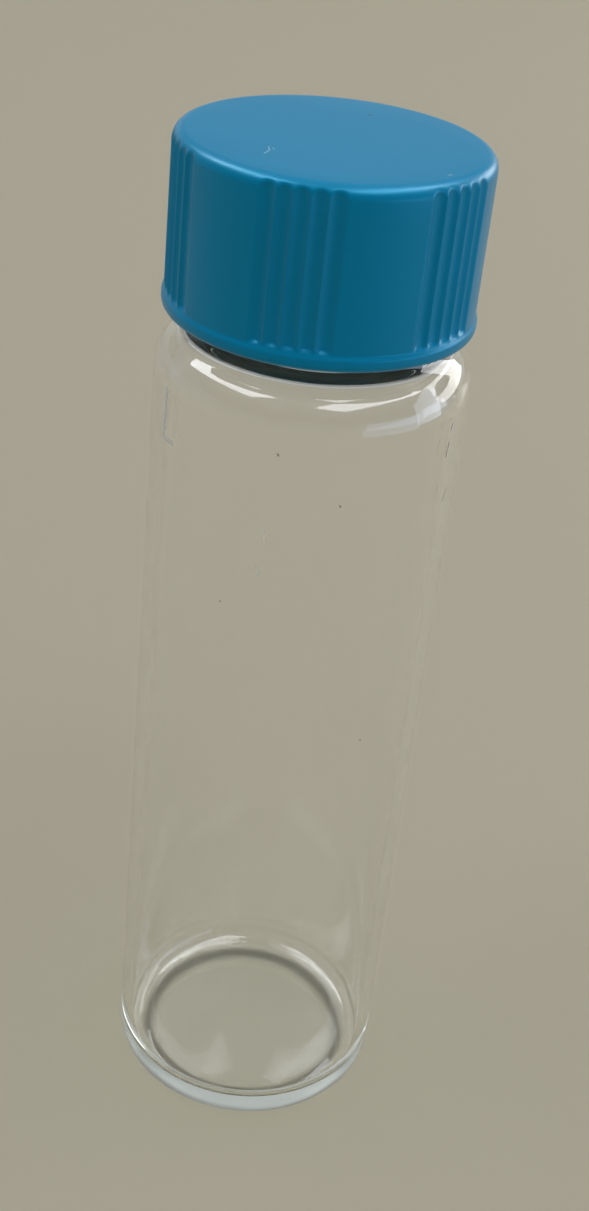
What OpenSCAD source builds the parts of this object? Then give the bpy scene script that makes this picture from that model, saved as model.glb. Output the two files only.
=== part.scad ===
// Glass sample vial: a tube with a screw neck, a moulded screw cap and the liner that seals it.
// Millimetres. The axis is Z and the vial stands on Z = 0.

/* [Glass body] */
// Outside diameter of the straight wall
body_d = 27.5; // [26:0.1:32]
// Height of the glass from its resting ring to its lip
glass_h = 96.8; // [50:0.1:140]
// Thickness of the straight wall
wall_t = 1.2; // [0.8:0.05:1.6]
// Thickness of the glass at the middle of the base
floor_t = 1.8; // [1.2:0.1:3]
// Rounding of the outer bottom edge
heel_r = 2.4; // [1.5:0.1:3]
// Rounding of the corner inside the base
floor_r = 2.2; // [1:0.1:3]
// Rise of the inside floor from its edge to the middle
floor_rise = 0.4; // [0.1:0.05:0.8]
// Width of the flat ring that the vial stands on
rest_w = 0.8; // [0.5:0.1:2]
// Height of the dome pushed up under the base
push_up = 0.7; // [0.2:0.1:1.2]

/* [Glass neck] */
// Outside diameter of the neck between its threads
neck_d = 21.2; // [20.6:0.1:21.8]
// Bore of the neck
bore_d = 15.2; // [14:0.1:16.4]
// Length of the neck's straight wall, lip included
neck_len = 11; // [10:0.1:18]
// Rounding of the shoulder outside
shoulder_r = 3; // [2:0.1:4]
// Rounding of the shoulder inside
crown_r = 3.8; // [2:0.1:3.9]
// Thickness of the glass under the top of the shoulder
shoulder_t = 2.1; // [1.9:0.1:2.6]
// Rounding where the shoulder sweeps up into the neck
root_r = 4; // [2:0.1:5]
// Rounding where the bore opens into the body
throat_r = 1; // [0.5:0.1:1.6]
// Rounding of the lip's outer edge
lip_r = 0.6; // [0.3:0.1:0.9]
// Rounding of the lip's inner edge
lip_in_r = 0.5; // [0.3:0.1:0.8]

/* [Thread] */
// Rise of the thread in one turn
pitch = 3.175; // [2.8:0.005:3.6]
// Turns of thread on the neck and in the cap
turns = 1.25; // [1:0.05:1.5]
// Height of the glass thread above the neck
thread_h = 1.2; // [0.9:0.05:1.3]
// Width of a thread at its foot
thread_foot = 2.1; // [1.6:0.05:2.2]
// Width of a thread at its crest
thread_crest = 0.9; // [0.6:0.05:1]
// Distance from the lip down to the glass thread
thread_drop = 1.1; // [0.8:0.1:2]
// Play between the glass and the plastic across the thread
thread_play = 0.3; // [0.25:0.01:0.45]

/* [Cap] */
// Thickness of the skirt outside its thread
skirt_t = 1.1; // [0.9:0.05:1.6]
// Thickness of the cap's flat top
top_t = 1.6; // [1.2:0.1:2.4]
// Rounding of the top's edge
edge_r = 1.1; // [0.5:0.1:1.5]
// Distance from the lip down to the cap's lower edge
skirt_drop = 11.7; // [10.5:0.1:12.4]
// Height of the bead round the lower edge
bead_h = 1.4; // [1.2:0.1:2.6]
// How far the bead stands out from the skirt
bead_out = 0.2; // [0.1:0.05:0.4]
// Rounding of the bead's upper edge
bead_top_r = 0.5; // [0.45:0.05:0.7]
// Rounding of the bead's lower edge
bead_low_r = 0.6; // [0.3:0.05:0.8]
// Bevel that leads the neck into the cap
lead_in = 0.4; // [0.2:0.05:0.5]

/* [Grip] */
// Groups of grooves round the cap
groups = 6; // [3:1:8]
// Grooves in one group
grooves = 5; // [2:1:6]
// Angle from one groove to the next
groove_step = 6; // [5.5:0.1:7]
// Turn of the first group about the axis
grip_turn = -99; // [-180:1:180]
// Radius of the cutter that makes a groove
groove_r = 0.85; // [0.6:0.05:1]
// Depth of a groove
groove_depth = 0.3; // [0.15:0.05:0.4]

/* [Liner] */
// Thickness of the sealing liner
liner_t = 1.5; // [1:0.1:3]
// Gap between the liner's edge and the cap
liner_gap = 0.25; // [0.2:0.05:0.5]

/* [Hidden] */
$fn = 120;
glass_color = [0.82, 0.86, 0.82, 0.4];
liner_color = [0.29, 0.345, 0.337];
cap_color = [0.04, 0.42, 0.58];

body_r = body_d / 2;
inner_r = body_r - wall_t;
neck_r = neck_d / 2;
bore_r = bore_d / 2;
rest_r = body_r - heel_r;
root_z = glass_h - neck_len;

// Centres of the outer shoulder and of the sweep at the neck's foot, which touch each other.
root_c = [neck_r + root_r, root_z];
shoulder_c = below(root_c, body_r - shoulder_r, root_r + shoulder_r);
// Centres of the inner shoulder and of the fillet at the throat, which touch each other.
crown_c = [inner_r - crown_r, shoulder_c.y + wall_t - shoulder_t];
throat_c = above(crown_c, bore_r + throat_r, crown_r + throat_r);

// Height where the inside floor meets its rounded corner.
floor_edge_r = inner_r - floor_r;
floor_top = push_up + floor_t;
floor_z = floor_top - floor_rise;

// The glass thread is centred on a helix that ends under the lip, and the cap's ridge runs
// halfway between its turns.
glass_helix_z = glass_h - thread_drop - thread_foot / 2 - pitch * turns;
cap_helix_z = glass_helix_z - pitch / 2;
// How deep a ridge is rooted in the wall that carries it.
ridge_root = 0.4;
// Angles over which a ridge runs out at its ends, and from one of its sections to the next.
run_out_a = 30;
section_a = 10;

cap_in_r = neck_r + thread_h + thread_play;
skirt_r = cap_in_r + skirt_t;
bead_r = skirt_r + bead_out;
cap_ceiling = glass_h + liner_t;
cap_top = cap_ceiling + top_t;
cap_low = glass_h - skirt_drop;
bead_top = cap_low + bead_h;
bead_top_a = acos(1 - bead_out / bead_top_r);
liner_r = cap_in_r - liner_gap;

// Point on the vertical line x, at distance d from point p and below or above it.
function below(p, x, d) = [x, p.y - sqrt(d * d - (x - p.x) * (x - p.x))];
function above(p, x, d) = [x, p.y + sqrt(d * d - (x - p.x) * (x - p.x))];

// Direction in degrees from point p to point q.
function aim(p, q) = atan2(q.y - p.y, q.x - p.x);

// Points along an arc round c from angle a to angle b, about one for every 9 degrees.
function arc(c, r, a, b) =
    let (n = ceil(abs(b - a) / 9))
    [for (i = [0:n]) c + r * [cos(a + (b - a) * i / n), sin(a + (b - a) * i / n)]];

// Shallow dome from the axis at height z out to radius x, where it has dropped by h.
function dome(x, z, h) =
    let (r = (x * x + h * h) / (2 * h), a = asin(x / r))
    [for (i = [0:6]) [r * sin(a * i / 6), z - r + r * cos(a * i / 6)]];

// The same points in the opposite order.
function backwards(v) = [for (i = [len(v) - 1:-1:0]) v[i]];

// Section of a ridge, from its foot at radius foot to its crest at radius crest.
function ridge_section(foot, crest, z) =
    [[foot, z - thread_foot / 2], [crest, z - thread_crest / 2],
     [crest, z + thread_crest / 2], [foot, z + thread_foot / 2]];

// The section turned to angle a about the axis.
function turned(section, a) = [for (p = section) [p.x * cos(a), p.x * sin(a), p.y]];

// Helical ridge on a wall of radius wall, rising from height z. Side is 1 for a ridge that
// stands outwards and -1 for one that stands inwards. Its ends run out into the wall.
module ridge(wall, side, z) {
    n = round(360 * turns / section_a);
    step = 360 * turns / n;
    foot = wall - side * ridge_root;
    rings = [for (i = [0:n])
        let (
            full = min(1, step * i / run_out_a, step * (n - i) / run_out_a),
            stand = ridge_root / 2 + full * (thread_h + ridge_root / 2),
            section = ridge_section(foot, foot + side * stand, z + pitch * turns * i / n)
        )
        turned(side > 0 ? backwards(section) : section, step * i)];
    sides = [for (i = [0:n - 1], j = [0:3])
        let (a = 4 * i + j, b = 4 * i + (j + 1) % 4)
        each [[a, a + 4, b + 4], [a, b + 4, b]]];
    ends = [[0, 1, 2], [0, 2, 3], [4 * n + 2, 4 * n + 1, 4 * n], [4 * n + 3, 4 * n + 2, 4 * n]];
    polyhedron([for (ring = rings) each ring], concat(sides, ends));
}

// Closed section of the glass, from the axis under the base round to the axis on the floor.
module glass_section() {
    polygon(concat(
        dome(rest_r - rest_w, push_up, push_up),
        arc([rest_r, heel_r], heel_r, -90, 0),
        arc(shoulder_c, shoulder_r, 0, aim(shoulder_c, root_c)),
        arc(root_c, root_r, 180 + aim(shoulder_c, root_c), 180),
        arc([neck_r - lip_r, glass_h - lip_r], lip_r, 0, 90),
        arc([bore_r + lip_in_r, glass_h - lip_in_r], lip_in_r, 90, 180),
        arc(throat_c, throat_r, 180, 180 + aim(crown_c, throat_c)),
        arc(crown_c, crown_r, aim(crown_c, throat_c), 0),
        arc([floor_edge_r, floor_z + floor_r], floor_r, 0, -90),
        backwards(dome(floor_edge_r, floor_top, floor_rise))
    ));
}

module vial() {
    color(glass_color) {
        rotate_extrude() glass_section();
        ridge(neck_r, 1, glass_helix_z);
    }
}

module liner() {
    color(liner_color)
        translate([0, 0, glass_h]) cylinder(h = liner_t, r = liner_r);
}

// Closed section of the cap, from the axis under its top round to the axis on its top.
module cap_section() {
    polygon(concat(
        [[0, cap_ceiling], [cap_in_r, cap_ceiling]],
        [[cap_in_r, cap_low + lead_in], [cap_in_r + lead_in, cap_low]],
        arc([bead_r - bead_low_r, cap_low + bead_low_r], bead_low_r, -90, 0),
        arc([bead_r - bead_top_r, bead_top - bead_top_r * sin(bead_top_a)], bead_top_r, 0, bead_top_a),
        arc([skirt_r - edge_r, cap_top - edge_r], edge_r, 0, 90),
        [[0, cap_top]]
    ));
}

// Cutters for the grip: round bars that stand on the bead and run out through the top's edge.
module grip_cutters() {
    for (g = [0:groups - 1], i = [0:grooves - 1])
        rotate(grip_turn + 360 / groups * g + groove_step * (i - (grooves - 1) / 2))
            translate([skirt_r - groove_depth + groove_r, 0, bead_top])
                cylinder(h = cap_top - bead_top + 1, r = groove_r);
}

module screw_cap() {
    color(cap_color) {
        difference() {
            rotate_extrude() cap_section();
            grip_cutters();
        }
        ridge(cap_in_r, -1, cap_helix_z);
    }
}

vial();
liner();
screw_cap();
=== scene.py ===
"""Looks of the glass sample vial: clear glass, a moulded screw cap and its liner, in a small studio.

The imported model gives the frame: where each piece sits and how large it is. Every piece here is a
turned section, drawn by a pen and spun about the vial's axis, with its thread and grooves then
pressed into the finished wall. Sizes are in millimetres unless a name says otherwise.
"""

import logging
import math
from collections.abc import Callable
from dataclasses import dataclass, field
from enum import Enum
from typing import Any

import bmesh
import bpy
from mathutils import Matrix, Vector

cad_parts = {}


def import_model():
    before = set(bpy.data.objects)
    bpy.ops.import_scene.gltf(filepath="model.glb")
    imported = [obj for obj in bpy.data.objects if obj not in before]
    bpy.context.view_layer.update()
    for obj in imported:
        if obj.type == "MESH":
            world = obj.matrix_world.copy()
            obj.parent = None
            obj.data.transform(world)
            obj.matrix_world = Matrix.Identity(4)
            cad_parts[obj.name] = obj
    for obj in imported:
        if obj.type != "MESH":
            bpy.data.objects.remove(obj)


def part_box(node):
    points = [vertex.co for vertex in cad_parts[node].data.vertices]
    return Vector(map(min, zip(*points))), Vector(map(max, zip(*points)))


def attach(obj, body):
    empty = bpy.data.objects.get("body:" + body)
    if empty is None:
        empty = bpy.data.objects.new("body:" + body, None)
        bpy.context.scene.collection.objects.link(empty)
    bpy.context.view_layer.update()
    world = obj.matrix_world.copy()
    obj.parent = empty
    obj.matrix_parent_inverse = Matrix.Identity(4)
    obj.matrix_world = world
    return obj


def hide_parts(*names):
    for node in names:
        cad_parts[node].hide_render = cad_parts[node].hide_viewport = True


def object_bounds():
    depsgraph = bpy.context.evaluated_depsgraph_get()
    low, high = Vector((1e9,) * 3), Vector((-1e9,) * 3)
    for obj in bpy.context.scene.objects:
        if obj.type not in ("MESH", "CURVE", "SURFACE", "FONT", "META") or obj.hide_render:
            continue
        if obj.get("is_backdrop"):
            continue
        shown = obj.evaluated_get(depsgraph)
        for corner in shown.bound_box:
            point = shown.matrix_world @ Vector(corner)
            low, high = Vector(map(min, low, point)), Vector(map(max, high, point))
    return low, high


MM = 0.001
# Points closer than this are one point, and edges that fold by more than this are crisp.
WELD_MM = 0.001
CRISP_DEG = 38.0
# A turned shape is one spun sector and its copies, this many in all, which is quicker than a full spin.
SECTORS = 8
# How far one half of a lamp hangs behind the other, so that no ray has to choose between them.
LAMP_GAP_M = 0.01

log = logging.getLogger("vial")


def linear(hex_colour: str) -> tuple[float, float, float, float]:
    """Turns an sRGB colour such as "#0a5f80" to the linear values that shaders take.

    Args:
        hex_colour: the colour, as a # and six hexadecimal digits.

    Returns:
        Red, green and blue, and an alpha of 1.
    """
    channels = [int(hex_colour[i:i + 2], 16) / 255 for i in (1, 3, 5)]
    red, green, blue = (c / 12.92 if c <= 0.04045 else ((c + 0.055) / 1.055) ** 2.4 for c in channels)
    return red, green, blue, 1.0


def smooth_step(x: float) -> float:
    """Rises from 0 at x = 0 to 1 at x = 1 with level ends, and holds past them."""
    x = min(1.0, max(0.0, x))
    return x * x * (3 - 2 * x)


def soft_min(a: float, b: float, blend: float) -> float:
    """The lesser of a and b, with the crossing rounded over a width of blend."""
    share = max(0.0, blend - abs(a - b)) / blend
    return min(a, b) - share * share * blend / 4


# ---------------------------------------------------------------------------- nodes


def add_node(tree: bpy.types.NodeTree, kind: str, settings: dict[str | int, Any] | None = None,
             links: dict[str | int, bpy.types.NodeSocket] | None = None) -> bpy.types.Node:
    """Adds one node to a tree.

    Args:
        tree: the node tree.
        kind: the node's type, such as "ShaderNodeTexNoise".
        settings: values by name, each for a property of the node or for one of its inputs. An input
            that shares its name with others goes by its number, from 0.
        links: by input name or number, the output that feeds it.

    Returns:
        The new node.
    """
    node = tree.nodes.new(kind)
    for name, value in (settings or {}).items():
        if isinstance(name, int) or name in node.inputs:
            node.inputs[name].default_value = value
        else:
            setattr(node, name, value)
    for name, source in (links or {}).items():
        tree.links.new(source, node.inputs[name])
    return node


def new_material(name: str) -> tuple[bpy.types.Material, bpy.types.NodeTree]:
    """Makes a material with an empty node tree.

    Args:
        name: its name.

    Returns:
        The material and its node tree.
    """
    material = bpy.data.materials.new(name)
    material.use_nodes = True
    material.node_tree.nodes.clear()
    return material, material.node_tree


# ---------------------------------------------------------------------------- shapes


class Outline:
    """The section of a turned shape, drawn with a pen in the plane of X and Z."""

    def __init__(self, x: float, z: float) -> None:
        """Puts the pen down.

        Args:
            x: distance from the axis.
            z: height.
        """
        self.mesh = bmesh.new()
        self.tip = self.mesh.verts.new((x, 0, z))

    def line(self, x: float, z: float, steps: int = 1) -> None:
        """Draws a straight line.

        Args:
            x: distance of the line's end from the axis.
            z: height of the line's end.
            steps: number of edges along it.
        """
        start, end = self.tip.co.copy(), Vector((x, 0, z))
        for i in range(steps):
            self.tip = bmesh.ops.extrude_vert_indiv(self.mesh, verts=[self.tip])["verts"][0]
            self.tip.co = start.lerp(end, (i + 1) / steps)

    def ease(self, x: float, z: float, steps: int) -> None:
        """Draws a soft S that leaves and arrives upright.

        Args:
            x: distance of the curve's end from the axis.
            z: height of the curve's end.
            steps: number of edges along it.
        """
        start = self.tip.co.copy()
        for i in range(1, steps + 1):
            share = i / steps
            self.line(start.x + (x - start.x) * smooth_step(share), start.z + (z - start.z) * share)

    def arc(self, centre: tuple[float, float], turn_deg: float, steps: int) -> None:
        """Draws an arc from the pen's place.

        Args:
            centre: distance from the axis and height of the arc's centre.
            turn_deg: how far it turns, anticlockwise with X to the right and Z up.
            steps: number of edges along it.
        """
        swept = bmesh.ops.spin(self.mesh, geom=[self.tip], cent=(centre[0], 0, centre[1]),
                               axis=(0, -1, 0), angle=math.radians(turn_deg), steps=steps)
        self.tip = next(part for part in swept["geom_last"] if isinstance(part, bmesh.types.BMVert))

    def turned(self, segments: int) -> bmesh.types.BMesh:
        """Turns the outline fully round the Z axis: one sector is spun, and the others are its copies.

        Args:
            segments: number of faces round it, a multiple of SECTORS.

        Returns:
            A closed mesh with its faces outwards, still in millimetres.
        """
        mesh, sector_a = self.mesh, math.tau / SECTORS
        bmesh.ops.spin(mesh, geom=mesh.verts[:] + mesh.edges[:], cent=(0, 0, 0), axis=(0, 0, 1),
                       angle=sector_a, steps=segments // SECTORS)
        sector = mesh.verts[:] + mesh.edges[:] + mesh.faces[:]
        for i in range(1, SECTORS):
            copied = bmesh.ops.duplicate(mesh, geom=sector)["geom"]
            points = [part for part in copied if isinstance(part, bmesh.types.BMVert)]
            bmesh.ops.rotate(mesh, verts=points, cent=(0, 0, 0),
                             matrix=Matrix.Rotation(i * sector_a, 3, "Z"))
        bmesh.ops.remove_doubles(mesh, verts=mesh.verts, dist=WELD_MM)
        bmesh.ops.recalc_face_normals(mesh, faces=mesh.faces)
        return mesh


def press(mesh: bmesh.types.BMesh, new_radius: Callable[[float, float, float], float]) -> None:
    """Moves a turned mesh's points towards or away from its axis.

    Args:
        mesh: the mesh, in millimetres.
        new_radius: gives a point's new distance from the axis, from its distance, its angle in
            degrees and its height.
    """
    for vert in mesh.verts:
        radius = math.hypot(vert.co.x, vert.co.y)
        if radius > WELD_MM:
            scale = new_radius(radius, math.degrees(math.atan2(vert.co.y, vert.co.x)), vert.co.z) / radius
            vert.co.x *= scale
            vert.co.y *= scale


def tangent_centre(fixed: tuple[float, float], x: float, distance: float,
                   above: bool) -> tuple[float, float]:
    """Centre of an arc that touches another arc.

    Args:
        fixed: the other arc's centre.
        x: how far the wanted centre lies from the axis.
        distance: between the two centres.
        above: whether the wanted centre is the higher one.

    Returns:
        The wanted centre.
    """
    rise = math.sqrt(distance ** 2 - (x - fixed[0]) ** 2)
    return x, fixed[1] + (rise if above else -rise)


def aim_deg(start: tuple[float, float], end: tuple[float, float]) -> float:
    """Direction from one point of a section to another, in degrees above +X."""
    return math.degrees(math.atan2(end[1] - start[1], end[0] - start[0]))


def add_piece(mesh: bmesh.types.BMesh, name: str, body: str, node: str,
              material: bpy.types.Material) -> None:
    """Makes an object of a finished mesh and ties it to the frame.

    Args:
        mesh: the mesh, in millimetres. It is freed.
        name: the object's name.
        body: the body that it rides on.
        node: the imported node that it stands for.
        material: its material.
    """
    bmesh.ops.scale(mesh, vec=(MM, MM, MM), verts=mesh.verts)
    for face in mesh.faces:
        face.smooth = True
    for edge in mesh.edges:
        edge.smooth = edge.calc_face_angle(0.0) < math.radians(CRISP_DEG)
    data = bpy.data.meshes.new(name)
    mesh.to_mesh(data)
    mesh.free()
    data.materials.append(material)
    piece = bpy.data.objects.new(name, data)
    bpy.context.scene.collection.objects.link(piece)
    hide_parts(node)
    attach(piece, body)
    triangles = sum(len(face.vertices) - 2 for face in data.polygons)
    log.info("%s: %d triangles, on body %s", name, triangles, body)


class Side(Enum):
    """The way that a thread's ridge stands off the wall that carries it."""

    OUTWARD = 1
    INWARD = -1


@dataclass
class ThreadRidge:
    """A helical ridge on a round wall, right-handed, that runs out into the wall at both ends."""

    start_z: float
    side: Side
    pitch: float = 3.175
    turns: float = 1.25
    height: float = 1.2
    foot_w: float = 1.8
    crest_w: float = 0.9
    run_out_deg: float = 30.0
    # How far its end sinks below the wall's surface.
    sunk: float = 0.2

    def stand(self, angle_deg: float, z: float) -> float:
        """Height of the ridge over the wall.

        Args:
            angle_deg: angle about the axis.
            z: height.

        Returns:
            The height, 0 where there is no ridge.
        """
        best, whole = 0.0, 360 * self.turns
        along = angle_deg % 360
        while along <= whole:
            off = abs(z - self.start_z - self.pitch * along / 360)
            flank = smooth_step((self.foot_w / 2 - off) / ((self.foot_w - self.crest_w) / 2))
            full = min(1.0, along / self.run_out_deg, (whole - along) / self.run_out_deg)
            best = max(best, flank * (full * (self.height + self.sunk) - self.sunk))
            along += 360
        return best

    def pressed(self, radius: float, angle_deg: float, z: float) -> float:
        """New radius of a point of the wall, with the ridge on it."""
        return radius + self.side.value * self.stand(angle_deg, z)


# ---------------------------------------------------------------------------- the pieces


@dataclass
class GlassVial:
    """The glass: a straight tube with a flat ring to stand on, a shoulder, a threaded neck and a lip."""

    wall_t: float = 1.2
    floor_t: float = 1.8
    heel_r: float = 2.4
    floor_r: float = 2.2
    floor_rise: float = 0.4
    rest_w: float = 0.8
    push_up: float = 0.7
    neck_r: float = 10.6
    bore_r: float = 7.6
    neck_len: float = 11.0
    shoulder_r: float = 3.0
    crown_r: float = 3.8
    shoulder_t: float = 2.1
    root_r: float = 4.0
    throat_r: float = 1.0
    lip_r: float = 0.6
    lip_in_r: float = 0.5
    # From the lip down to the middle of the thread's upper end.
    thread_drop: float = 2.15
    # How far over the neck's foot the wall stays plain, whatever the thread asks.
    plain_neck: float = 1.0
    segments: int = 240
    body_r: float = field(init=False)
    lip_z: float = field(init=False)
    ridge: ThreadRidge = field(init=False)

    def __post_init__(self) -> None:
        """Takes the overall sizes from the frame, and places the thread by them."""
        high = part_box("vial")[1]
        self.body_r = high.x / MM
        self.lip_z = high.z / MM
        thread_low = self.lip_z - self.thread_drop - ThreadRidge.pitch * ThreadRidge.turns
        self.ridge = ThreadRidge(start_z=thread_low, side=Side.OUTWARD)

    def outline(self) -> Outline:
        """Draws the section of the glass, which stands on Z = 0.

        Returns:
            The section, from the axis under the base round to the axis on the floor.
        """
        rest_r, inner_r = self.body_r - self.heel_r, self.body_r - self.wall_t
        root = (self.neck_r + self.root_r, self.lip_z - self.neck_len)
        shoulder = tangent_centre(root, self.body_r - self.shoulder_r, self.root_r + self.shoulder_r, False)
        crown = (inner_r - self.crown_r, shoulder[1] + self.wall_t - self.shoulder_t)
        throat = tangent_centre(crown, self.bore_r + self.throat_r, self.crown_r + self.throat_r, True)
        bend, throat_bend = aim_deg(shoulder, root), aim_deg(crown, throat)
        ring_r = rest_r - self.rest_w
        dome = (ring_r ** 2 + self.push_up ** 2) / (2 * self.push_up)
        floor_edge_r = inner_r - self.floor_r
        floor_top = self.push_up + self.floor_t
        floor_z = floor_top - self.floor_rise
        floor_dome = (floor_edge_r ** 2 + self.floor_rise ** 2) / (2 * self.floor_rise)
        pen = Outline(0, self.push_up)
        pen.arc((0, self.push_up - dome), -math.degrees(math.asin(ring_r / dome)), steps=12)
        pen.line(rest_r, 0, steps=2)
        pen.arc((rest_r, self.heel_r), 90, steps=16)
        pen.line(self.body_r, shoulder[1], steps=30)
        pen.arc(shoulder, bend, steps=18)
        pen.arc(root, -bend, steps=10)
        pen.line(self.neck_r, self.lip_z - self.lip_r, steps=72)
        pen.arc((self.neck_r - self.lip_r, self.lip_z - self.lip_r), 90, steps=6)
        pen.line(self.bore_r + self.lip_in_r, self.lip_z)
        pen.arc((self.bore_r + self.lip_in_r, self.lip_z - self.lip_in_r), 90, steps=6)
        pen.line(self.bore_r, throat[1], steps=6)
        pen.arc(throat, throat_bend, steps=10)
        pen.arc(crown, -throat_bend, steps=18)
        pen.line(inner_r, floor_z + self.floor_r, steps=30)
        pen.arc((floor_edge_r, floor_z + self.floor_r), -90, steps=14)
        pen.arc((0, floor_top - floor_dome), math.degrees(math.asin(floor_edge_r / floor_dome)), steps=10)
        return pen

    def threaded(self, radius: float, angle_deg: float, z: float) -> float:
        """New radius of a point of the glass, with the thread on the neck's outer wall.

        Args:
            radius: the point's radius on the plain glass.
            angle_deg: its angle about the axis.
            z: its height.

        Returns:
            The radius with the thread.
        """
        if radius > self.neck_r - WELD_MM and z > self.lip_z - self.neck_len + self.plain_neck:
            return self.ridge.pressed(radius, angle_deg, z)
        return radius

    def build(self, material: bpy.types.Material) -> None:
        """Makes the glass.

        Args:
            material: its material.
        """
        mesh = self.outline().turned(self.segments)
        press(mesh, self.threaded)
        add_piece(mesh, "vial_glass", "vial", "vial", material)


@dataclass
class ScrewCap:
    """The moulded cap: a fluted skirt on a bead, a rounded top edge and one ridge of thread inside."""

    skirt_r: float = 13.2
    inner_r: float = 12.1
    top_t: float = 1.6
    edge_r: float = 1.1
    bead_h: float = 1.4
    bead_low_r: float = 0.6
    lead_in: float = 0.4
    # From the cap's lower edge up to the middle of the thread's lower end.
    thread_rise: float = 3.994
    groups: int = 6
    grooves: int = 5
    groove_step_deg: float = 6.0
    first_group_deg: float = -99.0
    groove_r: float = 0.85
    groove_depth: float = 0.3
    # How far under and over the bead's nominal top it eases into the skirt.
    bead_under: float = 0.4
    bead_over: float = 0.12
    # How far the edge between two grooves is rounded, the height over which a groove starts on the
    # bead, and the height over which it fades out on the rounded top edge.
    land_round: float = 0.14
    groove_start: float = 0.45
    groove_end: float = 0.95
    segments: int = 720
    bead_r: float = field(init=False)
    low_z: float = field(init=False)
    top_z: float = field(init=False)
    ceiling_z: float = field(init=False)
    bead_top_z: float = field(init=False)
    ridge: ThreadRidge = field(init=False)

    def __post_init__(self) -> None:
        """Takes the overall sizes from the frame, and places the thread by them."""
        low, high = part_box("screw_cap")
        self.bead_r = high.x / MM
        self.low_z = low.z / MM
        self.top_z = high.z / MM
        self.ceiling_z = self.top_z - self.top_t
        self.bead_top_z = self.low_z + self.bead_h
        self.ridge = ThreadRidge(start_z=self.low_z + self.thread_rise, side=Side.INWARD)

    def outline(self) -> Outline:
        """Draws the section of the cap.

        Returns:
            The section, from the axis under the top round to the axis on the top.
        """
        pen = Outline(0, self.ceiling_z)
        pen.line(self.inner_r, self.ceiling_z, steps=3)
        pen.line(self.inner_r, self.low_z + self.lead_in, steps=44)
        pen.line(self.inner_r + self.lead_in, self.low_z)
        pen.line(self.bead_r - self.bead_low_r, self.low_z)
        pen.arc((self.bead_r - self.bead_low_r, self.low_z + self.bead_low_r), 90, steps=7)
        pen.line(self.bead_r, self.bead_top_z - self.bead_under, steps=2)
        pen.ease(self.skirt_r, self.bead_top_z + self.bead_over, steps=10)
        pen.line(self.skirt_r, self.bead_top_z + self.groove_start, steps=4)
        pen.line(self.skirt_r, self.top_z - self.edge_r, steps=8)
        pen.arc((self.skirt_r - self.edge_r, self.top_z - self.edge_r), 90, steps=12)
        pen.line(0, self.top_z, steps=5)
        return pen

    def fluted(self, radius: float, angle_deg: float, z: float) -> float:
        """New radius of a point of the skirt, with the grip grooves cut into it.

        Args:
            radius: the point's radius on the plain skirt.
            angle_deg: its angle about the axis.
            z: its height.

        Returns:
            The radius after cutting.
        """
        group_deg = 360 / self.groups
        off_group = (angle_deg - self.first_group_deg + group_deg / 2) % group_deg - group_deg / 2
        slot = min(max(round(off_group / self.groove_step_deg), -(self.grooves // 2)), self.grooves // 2)
        off = math.radians(off_group - slot * self.groove_step_deg)
        cutter_r = self.skirt_r - self.groove_depth + self.groove_r
        if abs(cutter_r * math.sin(off)) >= self.groove_r:
            return radius
        cut = cutter_r * math.cos(off) - math.sqrt(self.groove_r ** 2 - (cutter_r * math.sin(off)) ** 2)
        share = (smooth_step((z - self.bead_top_z) / self.groove_start)
                 * smooth_step((self.top_z - z) / self.groove_end))
        return radius + share * (soft_min(radius, cut, self.land_round) - radius)

    def shaped(self, radius: float, angle_deg: float, z: float) -> float:
        """New radius of a point of the cap, with its thread inside and its grooves outside.

        Args:
            radius: the point's radius on the plain cap.
            angle_deg: its angle about the axis.
            z: its height.

        Returns:
            The radius with both.
        """
        if radius > self.inner_r + self.lead_in and z > self.bead_top_z:
            return self.fluted(radius, angle_deg, z)
        if abs(radius - self.inner_r) < WELD_MM and z < self.ceiling_z - WELD_MM:
            return self.ridge.pressed(radius, angle_deg, z)
        return radius

    def build(self, material: bpy.types.Material) -> None:
        """Makes the cap.

        Args:
            material: its material.
        """
        mesh = self.outline().turned(self.segments)
        press(mesh, self.shaped)
        add_piece(mesh, "cap_moulding", "cap", "screw_cap", material)


@dataclass
class Liner:
    """The rubber disc that seals the vial, seated under the cap's top."""

    edge_r: float = 0.15
    segments: int = 160

    def build(self, material: bpy.types.Material) -> None:
        """Makes the liner.

        Args:
            material: its material.
        """
        low, high = (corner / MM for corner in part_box("liner"))
        rim = high.x - self.edge_r
        pen = Outline(0, low.z)
        pen.line(rim, low.z, steps=8)
        pen.arc((rim, low.z + self.edge_r), 90, steps=4)
        pen.line(high.x, high.z - self.edge_r, steps=3)
        pen.arc((rim, high.z - self.edge_r), 90, steps=4)
        pen.line(0, high.z, steps=8)
        mesh = pen.turned(self.segments)
        add_piece(mesh, "liner_disc", "liner", "liner", material)


# ---------------------------------------------------------------------------- the finishes


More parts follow.
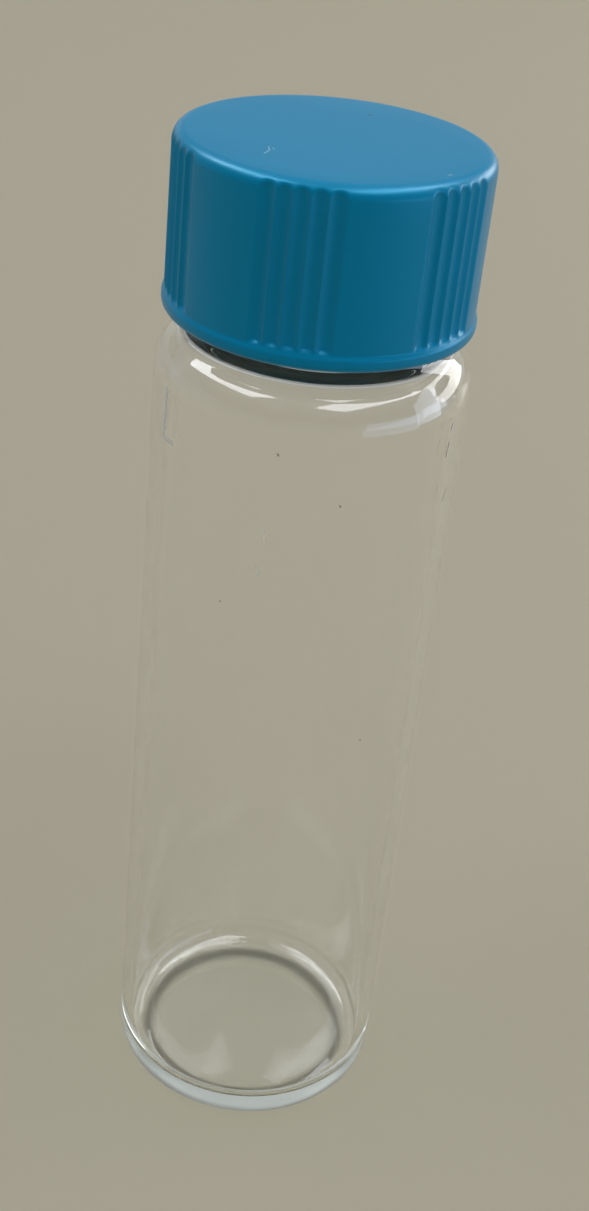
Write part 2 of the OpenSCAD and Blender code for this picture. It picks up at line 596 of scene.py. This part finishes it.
@dataclass(frozen=True)
class Mark:
    """A thin straight mark on a surface, such as a fibre of dust or a drawn-out bubble."""

    start: tuple[float, float, float]
    end: tuple[float, float, float]
    width: float

    def mask(self, tree: bpy.types.NodeTree, where: bpy.types.Node) -> bpy.types.NodeSocket:
        """Finds the mark.

        Args:
            tree: the material's node tree.
            where: its texture coordinates.

        Returns:
            An output that is 1 along the mark and 0 away from it.
        """
        start, end = Vector(self.start) * MM, Vector(self.end) * MM
        middle, half = (start + end) / 2, (end - start).length / 2
        along = (end - start).normalized()
        offset = add_node(tree, "ShaderNodeVectorMath", {"operation": "SUBTRACT", 1: middle},
                          {0: where.outputs["Object"]})
        reach = add_node(tree, "ShaderNodeVectorMath", {"operation": "DOT_PRODUCT", 1: along},
                         {0: offset.outputs["Vector"]})
        held = add_node(tree, "ShaderNodeClamp", {"Min": -half, "Max": half},
                        {"Value": reach.outputs["Value"]})
        nearest = add_node(tree, "ShaderNodeVectorMath", {"operation": "SCALE", 0: along},
                           {"Scale": held.outputs["Result"]})
        away = add_node(tree, "ShaderNodeVectorMath", {"operation": "DISTANCE"},
                        {0: offset.outputs["Vector"], 1: nearest.outputs["Vector"]})
        edge = add_node(tree, "ShaderNodeMapRange", {"From Min": self.width / 2 * MM, "From Max": 0.0},
                        {"Value": away.outputs["Value"]})
        return edge.outputs["Result"]


def any_mark(tree: bpy.types.NodeTree, where: bpy.types.Node,
             marks: tuple[Mark, ...]) -> bpy.types.NodeSocket:
    """Joins the masks of several marks.

    Args:
        tree: the material's node tree.
        where: its texture coordinates.
        marks: the marks.

    Returns:
        An output that is 1 on every mark and 0 away from them.
    """
    joined = marks[0].mask(tree, where)
    for mark in marks[1:]:
        either = add_node(tree, "ShaderNodeMath", {"operation": "MAXIMUM"},
                          {0: joined, 1: mark.mask(tree, where)})
        joined = either.outputs["Value"]
    return joined


@dataclass(frozen=True)
class BorosilicateGlass:
    """Clear drawn borosilicate tube, fire-polished: sharp reflections and a faint green depth."""

    ior: float = 1.473
    roughness: float = 0.0
    # Tint of light that goes a long way through the glass, and how fast the tint deepens.
    depth_hex: str = "#e4f0e8"
    absorb_per_m: float = 12.0
    # Spacing of the faint lines that drawing leaves along the tube, and their length.
    draw_line_mm: float = 2.2
    draw_line_length_mm: float = 90.0
    draw_line_depth_mm: float = 0.008
    # Lamplight and the floor's light pass straight through, with this tint. So does light that has
    # been caught in the wall for more turns than this, which would otherwise be lost.
    clear_hex: str = "#fbfcfb"
    trapped_after: float = 2.5
    # The ring that the vial stands on bends the light away from the surface under it.
    # Painted shadow: light through the ring is dimmed to this tint, which darkens that surface.
    ring_shadow_hex: str = "#8c8c86"
    ring_r_mm: float = 10.7
    ring_w_mm: float = 1.5
    ring_soft_mm: float = 1.3
    ring_top_mm: float = 0.5
    # Small bubbles in the tube look dark, and the fibres of dust on it pale. Painted highlights, as pale
    # as the fibres, run beside the two long bubbles on the right. Two pale grey lines lie near the tube's
    # left edge.
    bubbles: tuple[Mark, ...] = (
        Mark((12.17, -6.40, 78.9), (12.07, -6.58, 78.4), 0.26),
        Mark((12.08, -6.56, 77.2), (11.99, -6.74, 76.0), 0.26),
        Mark((12.52, -5.69, 72.5), (12.29, -6.16, 71.5), 0.22),
        Mark((-2.03, -13.60, 77.9), (-1.99, -13.60, 77.8), 0.22),
        Mark((7.82, -11.31, 49.0), (7.86, -11.29, 49.0), 0.24),
        Mark((3.40, -13.32, 73.7), (3.48, -13.30, 73.6), 0.16),
        Mark((-5.79, -12.47, 62.9), (-5.75, -12.49, 62.9), 0.18),
    )
    bubble_hex: str = "#5c5b4f"
    fibres_and_glints: tuple[Mark, ...] = (
        Mark((-2.70, -13.48, 71.0), (-2.49, -13.52, 69.8), 0.13),
        Mark((-2.40, -13.54, 70.6), (-2.50, -13.52, 70.0), 0.13),
        Mark((-3.00, -13.42, 67.3), (-2.72, -13.48, 66.4), 0.16),
        # Painted highlights: glints beside the two long bubbles.
        Mark((12.26, -6.23, 78.8), (12.17, -6.40, 78.3), 0.16),
        Mark((12.17, -6.40, 77.0), (12.10, -6.53, 76.0), 0.14),
    )
    fibre_and_glint_hex: str = "#f4f6f4"
    pale_lines: tuple[Mark, ...] = (
        Mark((-11.78, -7.09, 79.5), (-11.89, -6.91, 75.6), 0.70),
        Mark((-11.90, -6.89, 75.2), (-11.05, -8.18, 75.2), 0.55),
    )
    pale_line_hex: str = "#d0d4d6"
    mark_roughness: float = 0.6

    def on_ring(self, tree: bpy.types.NodeTree, where: bpy.types.Node) -> bpy.types.NodeSocket:
        """Finds the resting ring, where the painted shadow lies.

        Args:
            tree: the material's node tree.
            where: its texture coordinates.

        Returns:
            An output that is 1 on the ring and 0 away from it, with a soft edge.
        """
        outer = (self.ring_w_mm + self.ring_soft_mm) / 2 * MM
        inner = (self.ring_w_mm - self.ring_soft_mm) / 2 * MM
        flat = add_node(tree, "ShaderNodeVectorMath", {"operation": "MULTIPLY", 1: (1, 1, 0)},
                        {0: where.outputs["Object"]})
        radius = add_node(tree, "ShaderNodeVectorMath", {"operation": "LENGTH"},
                          {0: flat.outputs["Vector"]})
        off = add_node(tree, "ShaderNodeMath", {"operation": "SUBTRACT", 1: self.ring_r_mm * MM},
                       {0: radius.outputs["Value"]})
        distance = add_node(tree, "ShaderNodeMath", {"operation": "ABSOLUTE"}, {0: off.outputs["Value"]})
        inside = add_node(tree, "ShaderNodeMapRange",
                          {"interpolation_type": "SMOOTHSTEP", "From Min": outer, "From Max": inner},
                          {"Value": distance.outputs["Value"]})
        height = add_node(tree, "ShaderNodeSeparateXYZ", None, {"Vector": where.outputs["Object"]})
        low = add_node(tree, "ShaderNodeMath", {"operation": "LESS_THAN", 1: self.ring_top_mm * MM},
                       {0: height.outputs["Z"]})
        both = add_node(tree, "ShaderNodeMath", {"operation": "MULTIPLY"},
                        {0: inside.outputs["Result"], 1: low.outputs["Value"]})
        return both.outputs["Value"]

    def straight_through(self, tree: bpy.types.NodeTree) -> bpy.types.NodeSocket:
        """Finds the light that passes as if through clear air.

        Args:
            tree: the material's node tree.

        Returns:
            An output that is 1 for such light and 0 for light that the glass bends.
        """
        path = add_node(tree, "ShaderNodeLightPath")
        trapped = add_node(tree, "ShaderNodeMath", {"operation": "GREATER_THAN", 1: self.trapped_after},
                           {0: path.outputs["Glossy Depth"]})
        through = trapped.outputs["Value"]
        for name in ("Is Shadow Ray", "Is Diffuse Ray"):
            either = add_node(tree, "ShaderNodeMath", {"operation": "MAXIMUM"},
                              {0: path.outputs[name], 1: through})
            through = either.outputs["Value"]
        return through

    def material(self) -> bpy.types.Material:
        """Makes the material.

        Returns:
            The material.
        """
        made, tree = new_material("borosilicate_glass_drawn")
        where = add_node(tree, "ShaderNodeTexCoord")
        around = 1 / (self.draw_line_mm * MM)
        along = 1 / (self.draw_line_length_mm * MM)
        stretched = add_node(tree, "ShaderNodeMapping", {"Scale": (around, around, along)},
                             {"Vector": where.outputs["Object"]})
        lines = add_node(tree, "ShaderNodeTexNoise", {"Scale": 1.0, "Detail": 1.0},
                         {"Vector": stretched.outputs["Vector"]})
        bump = add_node(tree, "ShaderNodeBump", {"Strength": 1.0, "Distance": self.draw_line_depth_mm * MM},
                        {"Height": lines.outputs["Fac"]})
        glass = add_node(tree, "ShaderNodeBsdfPrincipled",
                         {"Base Color": (1, 1, 1, 1), "Roughness": self.roughness, "IOR": self.ior,
                          "Transmission Weight": 1.0},
                         {"Normal": bump.outputs["Normal"]})
        # Painted shadow: light that passes straight through the resting ring is dimmed to the ring's tint.
        tone = add_node(tree, "ShaderNodeMix",
                        {"data_type": "RGBA", 6: linear(self.clear_hex), 7: linear(self.ring_shadow_hex)},
                        {"Factor": self.on_ring(tree, where)})
        clear = add_node(tree, "ShaderNodeBsdfTransparent", None, {"Color": tone.outputs[2]})
        mixed = add_node(tree, "ShaderNodeMixShader", None,
                         {0: self.straight_through(tree), 1: glass.outputs["BSDF"],
                          2: clear.outputs["BSDF"]})
        surface = mixed.outputs["Shader"]
        for marks, colour_hex in ((self.bubbles, self.bubble_hex), (self.fibres_and_glints, self.fibre_and_glint_hex),
                                  (self.pale_lines, self.pale_line_hex)):
            marked = add_node(tree, "ShaderNodeBsdfPrincipled",
                              {"Base Color": linear(colour_hex), "Roughness": self.mark_roughness})
            blended = add_node(tree, "ShaderNodeMixShader", None,
                               {0: any_mark(tree, where, marks), 1: surface, 2: marked.outputs["BSDF"]})
            surface = blended.outputs["Shader"]
        depth = add_node(tree, "ShaderNodeVolumeAbsorption",
                         {"Color": linear(self.depth_hex), "Density": self.absorb_per_m})
        add_node(tree, "ShaderNodeOutputMaterial", None,
                 {"Surface": surface, "Volume": depth.outputs["Volume"]})
        return made


@dataclass(frozen=True)
class MouldedPolypropylene:
    """Blue-green polypropylene, injection moulded in a polished tool: soft gloss, faint orange peel."""

    colour_hex: str = "#0089b6"
    deep_hex: str = "#0085b1"
    # The gloss keeps the pigment's blue where it is seen square on, and is white at a glance.
    gloss_hex: str = "#74d8ff"
    ior: float = 1.49
    roughness: float = 0.28
    rough_spread: float = 0.06
    peel_mm: float = 0.7
    peel_depth_mm: float = 0.003
    cloud_mm: float = 6.0
    # A fibre and a few specks of dust that lie on the top.
    lint: tuple[Mark, ...] = (
        Mark((-5.40, -6.90, 99.9), (-5.05, -5.90, 99.9), 0.16),
        Mark((-5.05, -5.90, 99.9), (-5.20, -4.90, 99.9), 0.14),
        Mark((-4.70, -5.60, 99.9), (-4.85, -5.10, 99.9), 0.14),
        Mark((8.80, -7.40, 99.9), (9.00, -7.30, 99.9), 0.32),
        Mark((5.00, -2.60, 99.9), (5.15, -2.50, 99.9), 0.14),
    )
    lint_hex: str = "#9cc8d9"
    specks: tuple[Mark, ...] = (
        Mark((2.50, 7.45, 99.9), (2.65, 7.65, 99.9), 0.40),
    )
    speck_hex: str = "#0a3f58"

    def material(self) -> bpy.types.Material:
        """Makes the material.

        Returns:
            The material.
        """
        made, tree = new_material("polypropylene_moulded")
        where = add_node(tree, "ShaderNodeTexCoord")
        cloud = add_node(tree, "ShaderNodeTexNoise", {"Scale": 1 / (self.cloud_mm * MM), "Detail": 3.0},
                         {"Vector": where.outputs["Object"]})
        tone = add_node(tree, "ShaderNodeMix",
                        {"data_type": "RGBA", 6: linear(self.colour_hex), 7: linear(self.deep_hex)},
                        {"Factor": cloud.outputs["Fac"]})
        for marks, colour_hex in ((self.lint, self.lint_hex), (self.specks, self.speck_hex)):
            tone = add_node(tree, "ShaderNodeMix", {"data_type": "RGBA", 7: linear(colour_hex)},
                            {"Factor": any_mark(tree, where, marks), 6: tone.outputs[2]})
        rough = add_node(tree, "ShaderNodeMapRange",
                         {"To Min": self.roughness, "To Max": self.roughness + self.rough_spread},
                         {"Value": cloud.outputs["Fac"]})
        peel = add_node(tree, "ShaderNodeTexNoise", {"Scale": 1 / (self.peel_mm * MM), "Detail": 2.0},
                        {"Vector": where.outputs["Object"]})
        bump = add_node(tree, "ShaderNodeBump", {"Strength": 1.0, "Distance": self.peel_depth_mm * MM},
                        {"Height": peel.outputs["Fac"]})
        plastic = add_node(tree, "ShaderNodeBsdfPrincipled",
                           {"IOR": self.ior, "Specular Tint": linear(self.gloss_hex)},
                           {"Base Color": tone.outputs[2], "Roughness": rough.outputs["Result"],
                            "Normal": bump.outputs["Normal"]})
        add_node(tree, "ShaderNodeOutputMaterial", None, {"Surface": plastic.outputs["BSDF"]})
        return made


@dataclass(frozen=True)
class ButylRubberSheet:
    """Butyl rubber, moulded as sheet and cut with a die: smooth, faintly matte, dark grey partly as painted
    shade.
    """

    # Painted shade, in part: this dark grey-green darkens the cap's inside, which the neck shows as a dark
    # band.
    colour_hex: str = "#4a5856"
    roughness: float = 0.5
    grain_mm: float = 0.25
    grain_depth_mm: float = 0.005

    def material(self) -> bpy.types.Material:
        """Makes the material.

        Returns:
            The material.
        """
        made, tree = new_material("butyl_rubber_sheet_painted_shade")
        where = add_node(tree, "ShaderNodeTexCoord")
        grain = add_node(tree, "ShaderNodeTexNoise", {"Scale": 1 / (self.grain_mm * MM), "Detail": 2.0},
                         {"Vector": where.outputs["Object"]})
        bump = add_node(tree, "ShaderNodeBump", {"Strength": 1.0, "Distance": self.grain_depth_mm * MM},
                        {"Height": grain.outputs["Fac"]})
        rubber = add_node(tree, "ShaderNodeBsdfPrincipled",
                          {"Base Color": linear(self.colour_hex), "Roughness": self.roughness},
                          {"Normal": bump.outputs["Normal"]})
        add_node(tree, "ShaderNodeOutputMaterial", None, {"Surface": rubber.outputs["BSDF"]})
        return made


# ---------------------------------------------------------------------------- the studio


def towards(azimuth_deg: float, elevation_deg: float) -> Vector:
    """Direction from the part to a lamp or the camera.

    Args:
        azimuth_deg: 0 in front, towards -Y, and 90 at +X.
        elevation_deg: angle above level.

    Returns:
        The direction, of length 1.
    """
    azimuth, elevation = math.radians(azimuth_deg), math.radians(elevation_deg)
    return Vector((math.sin(azimuth) * math.cos(elevation), -math.cos(azimuth) * math.cos(elevation),
                   math.sin(elevation)))


def facing(target: Vector, away: Vector, distance: float) -> Matrix:
    """Place and turn of a thing that looks at a target.

    Args:
        target: the point that it looks at.
        away: the direction from there to the thing.
        distance: how far it is.

    Returns:
        Its matrix. It looks along its own -Z.
    """
    turn = away.to_track_quat("Z", "Y").to_matrix().to_4x4()
    return Matrix.Translation(target + away * distance) @ turn


def hang_lamp(name: str, width: float, length: float, gloss: float, wash: float, colour_hex: str,
              place: Matrix) -> None:
    """Hangs a rectangular lamp as two halves, one just behind the other.

    One half shows in gloss and through glass, and the other lights matte faces.

    Args:
        name: the lamp's name.
        width: its width in metres, along its own X.
        length: its length in metres, along its own Y.
        gloss: radiance that gloss and glass show.
        wash: radiance that lights matte faces.
        colour_hex: its colour.
        place: its place and turn. It shines along its own -Z.
    """
    for part, radiance, matte in (("gloss", gloss, False), ("wash", wash, True)):
        lamp = bpy.data.lights.new(f"{name}_{part}", "AREA")
        lamp.shape, lamp.size, lamp.size_y = "RECTANGLE", width, length
        lamp.energy = radiance * math.pi * width * length
        lamp.color = linear(colour_hex)[:3]
        hung = bpy.data.objects.new(lamp.name, lamp)
        bpy.context.scene.collection.objects.link(hung)
        hung.matrix_world = place @ Matrix.Translation((0, 0, LAMP_GAP_M if matte else 0))
        hung.visible_camera = False
        hung.visible_diffuse = matte
        hung.visible_glossy = hung.visible_transmission = not matte


@dataclass(frozen=True)
class SoftBox:
    """A rectangular lamp that faces the cap."""

    name: str
    azimuth_deg: float
    elevation_deg: float
    width_deg: float
    height_deg: float
    gloss: float
    wash: float
    distance_m: float = 0.8
    colour_hex: str = "#ffffff"

    def place(self, target: Vector) -> None:
        """Hangs the lamp.

        Args:
            target: the point that it faces.
        """
        width = (2 * self.distance_m * math.tan(math.radians(self.width_deg / 2))
                 * math.cos(math.radians(self.elevation_deg)))
        height = 2 * self.distance_m * math.tan(math.radians(self.height_deg / 2))
        hang_lamp(self.name, width, height, self.gloss, self.wash, self.colour_hex,
                  facing(target, towards(self.azimuth_deg, self.elevation_deg), self.distance_m))


@dataclass(frozen=True)
class CeilingPanel:
    """A rectangular lamp that faces down. Its place and sizes are shares of its height over the cap."""

    name: str
    x_share: float
    y_share: float
    width_share: float
    length_share: float
    # Turn of its long side away from the Y axis, seen from above and anticlockwise.
    turn_deg: float
    gloss: float
    wash: float
    height_m: float = 3.0
    colour_hex: str = "#f6f9ff"

    def place(self, target: Vector) -> None:
        """Hangs the lamp.

        Args:
            target: the point that it hangs over.
        """
        offset = Vector((self.x_share, self.y_share, 1)) * self.height_m
        turn = Matrix.Rotation(math.radians(self.turn_deg), 4, "Z")
        hang_lamp(self.name, self.width_share * self.height_m, self.length_share * self.height_m,
                  self.gloss, self.wash, self.colour_hex, Matrix.Translation(target + offset) @ turn)


@dataclass(frozen=True)
class Studio:
    """A plain pale floor under soft lamps, and the camera."""

    floor_hex: str = "#ada591"
    floor_roughness: float = 0.8
    floor_specular: float = 0.1
    floor_r_m: float = 3.0
    # The floor lies this far under the vial's resting ring, so that the two faces don't fight.
    floor_gap: float = 0.03
    # The air is dim in front and brightens towards the back of the room, where it is brightest at
    # this elevation. It is evenly dim where the cosine of the angle from there is under front_cos.
    front_hex: str = "#868b92"
    back_hex: str = "#bdc0c0"
    back_elevation_deg: float = 62.0
    front_cos: float = -0.2
    # Sine of the elevation and shade of the air there: a dim belt lies over the horizon, where a room
    # has its walls and its furniture.
    belt: tuple[tuple[float, float], ...] = ((0.18, 1.0), (0.26, 0.4), (0.46, 0.4), (0.68, 1.0))
    # A room's walls are uneven: how many patches of light and shade there are, the part of the
    # noise's range that makes them, and their least and greatest strength.
    wall_scale: float = 3.5
    wall_noise: tuple[float, float] = (0.35, 0.65)
    wall_shades: tuple[float, float] = (0.9, 1.5)
    lamps: tuple[SoftBox | CeilingPanel, ...] = (
        CeilingPanel("right_panel", 0.50, 0.00, 0.42, 1.40, -20, 9.0, 2.7),
        CeilingPanel("left_panel", -0.74, 0.25, 0.44, 1.30, 25, 10.0, 2.7),
        SoftBox("back_window", 128, 15, 44, 16, 5.0, 1.6),
        SoftBox("side_window", 98, 7, 24, 18, 3.0, 1.0, distance_m=0.6, colour_hex="#dce8ff"),
        SoftBox("right_wall", 64, 0, 46, 18, 2.0, 0.8, distance_m=0.4, colour_hex="#c4d8ff"),
    )
    camera_distance: float = 152.46
    camera_azimuth_deg: float = -0.298
    camera_elevation_deg: float = 31.545
    camera_roll_deg: float = 6.195
    # The camera looks at this share of the part's height, and this far to the right of its axis.
    aim_share: float = 0.55644
    aim_side: float = 0.675
    lens: float = 47.943
    sensor: float = 36.0
    clip_m: tuple[float, float] = (0.01, 20.0)

    def lay_floor(self) -> None:
        """Lays the floor, a painted board: pale, even and without gloss."""
        made, tree = new_material("painted_board_matte")
        paint = add_node(tree, "ShaderNodeBsdfPrincipled",
                         {"Base Color": linear(self.floor_hex), "Roughness": self.floor_roughness,
                          "Specular IOR Level": self.floor_specular})
        add_node(tree, "ShaderNodeOutputMaterial", None, {"Surface": paint.outputs["BSDF"]})
        mesh = bmesh.new()
        bmesh.ops.create_circle(mesh, cap_ends=True, segments=96, radius=self.floor_r_m,
                                matrix=Matrix.Translation((0, 0, -self.floor_gap * MM)))
        data = bpy.data.meshes.new("floor")
        mesh.to_mesh(data)
        mesh.free()
        data.materials.append(made)
        floor = bpy.data.objects.new("floor", data)
        bpy.context.scene.collection.objects.link(floor)
        floor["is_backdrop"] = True

    def hang_lamps(self, target: Vector) -> None:
        """Hangs the lamps round the point that they face."""
        for lamp in self.lamps:
            lamp.place(target)

    def fill_air(self) -> None:
        """Lights the air round the part, which gloss mirrors between the lamps."""
        world = bpy.data.worlds.new("studio_air")
        bpy.context.scene.world = world
        world.use_nodes = True
        tree = world.node_tree
        tree.nodes.clear()
        where = add_node(tree, "ShaderNodeTexCoord")
        rise = math.radians(self.back_elevation_deg)
        backward = add_node(tree, "ShaderNodeVectorMath",
                            {"operation": "DOT_PRODUCT", 1: (0, math.cos(rise), math.sin(rise))},
                            {0: where.outputs["Generated"]})
        share = add_node(tree, "ShaderNodeMapRange",
                         {"interpolation_type": "SMOOTHSTEP", "From Min": self.front_cos},
                         {"Value": backward.outputs["Value"]})
        tone = add_node(tree, "ShaderNodeMix",
                        {"data_type": "RGBA", 6: linear(self.front_hex), 7: linear(self.back_hex)},
                        {"Factor": share.outputs["Result"]})
        height = add_node(tree, "ShaderNodeSeparateXYZ", None, {"Vector": where.outputs["Generated"]})
        belt = add_node(tree, "ShaderNodeValToRGB", None, {"Fac": height.outputs["Z"]})
        ramp = belt.color_ramp
        ramp.interpolation = "EASE"
        ramp.elements.remove(ramp.elements[-1])
        ramp.elements[0].position = self.belt[0][0]
        for sine, _ in self.belt[1:]:
            ramp.elements.new(sine)
        for stop, (_, shade) in zip(ramp.elements, self.belt):
            stop.color = (shade, shade, shade, 1)
        dimmed = add_node(tree, "ShaderNodeMix", {"data_type": "RGBA", "blend_type": "MULTIPLY", 0: 1.0},
                          {6: tone.outputs[2], 7: belt.outputs["Color"]})
        uneven = add_node(tree, "ShaderNodeTexNoise", {"Scale": self.wall_scale, "Detail": 1.0},
                          {"Vector": where.outputs["Generated"]})
        noise_low, noise_high = self.wall_noise
        weakest, strongest = self.wall_shades
        strength = add_node(tree, "ShaderNodeMapRange",
                            {"From Min": noise_low, "From Max": noise_high,
                             "To Min": weakest, "To Max": strongest},
                            {"Value": uneven.outputs["Fac"]})
        sky = add_node(tree, "ShaderNodeBackground", None,
                       {"Color": dimmed.outputs[2], "Strength": strength.outputs["Result"]})
        add_node(tree, "ShaderNodeOutputWorld", None, {"Surface": sky.outputs["Background"]})

    def set_camera(self, low: Vector, high: Vector) -> None:
        """Sets the camera up.

        Args:
            low: the part's lowest corner.
            high: the part's highest corner.
        """
        back = towards(self.camera_azimuth_deg, self.camera_elevation_deg)
        aim = Vector((self.aim_side * MM, 0, low.z + self.aim_share * (high.z - low.z)))
        roll = Matrix.Rotation(math.radians(self.camera_roll_deg), 4, "Z")
        data = bpy.data.cameras.new("camera")
        data.sensor_width, data.lens = self.sensor, self.lens
        data.clip_start, data.clip_end = self.clip_m
        camera = bpy.data.objects.new("camera", data)
        bpy.context.scene.collection.objects.link(camera)
        camera.matrix_world = facing(aim, back, self.camera_distance * MM) @ roll
        bpy.context.scene.camera = camera


def main() -> None:
    """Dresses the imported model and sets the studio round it."""
    logging.basicConfig(level=logging.INFO, format="%(name)s: %(message)s")
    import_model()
    low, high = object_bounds()
    GlassVial().build(BorosilicateGlass().material())
    Liner().build(ButylRubberSheet().material())
    ScrewCap().build(MouldedPolypropylene().material())
    studio = Studio()
    studio.lay_floor()
    studio.hang_lamps(Vector((0, 0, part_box("screw_cap")[0].z)))
    studio.fill_air()
    studio.set_camera(low, high)
    bpy.context.scene.view_settings.view_transform = "Standard"


if __name__ == "__main__":
    main()
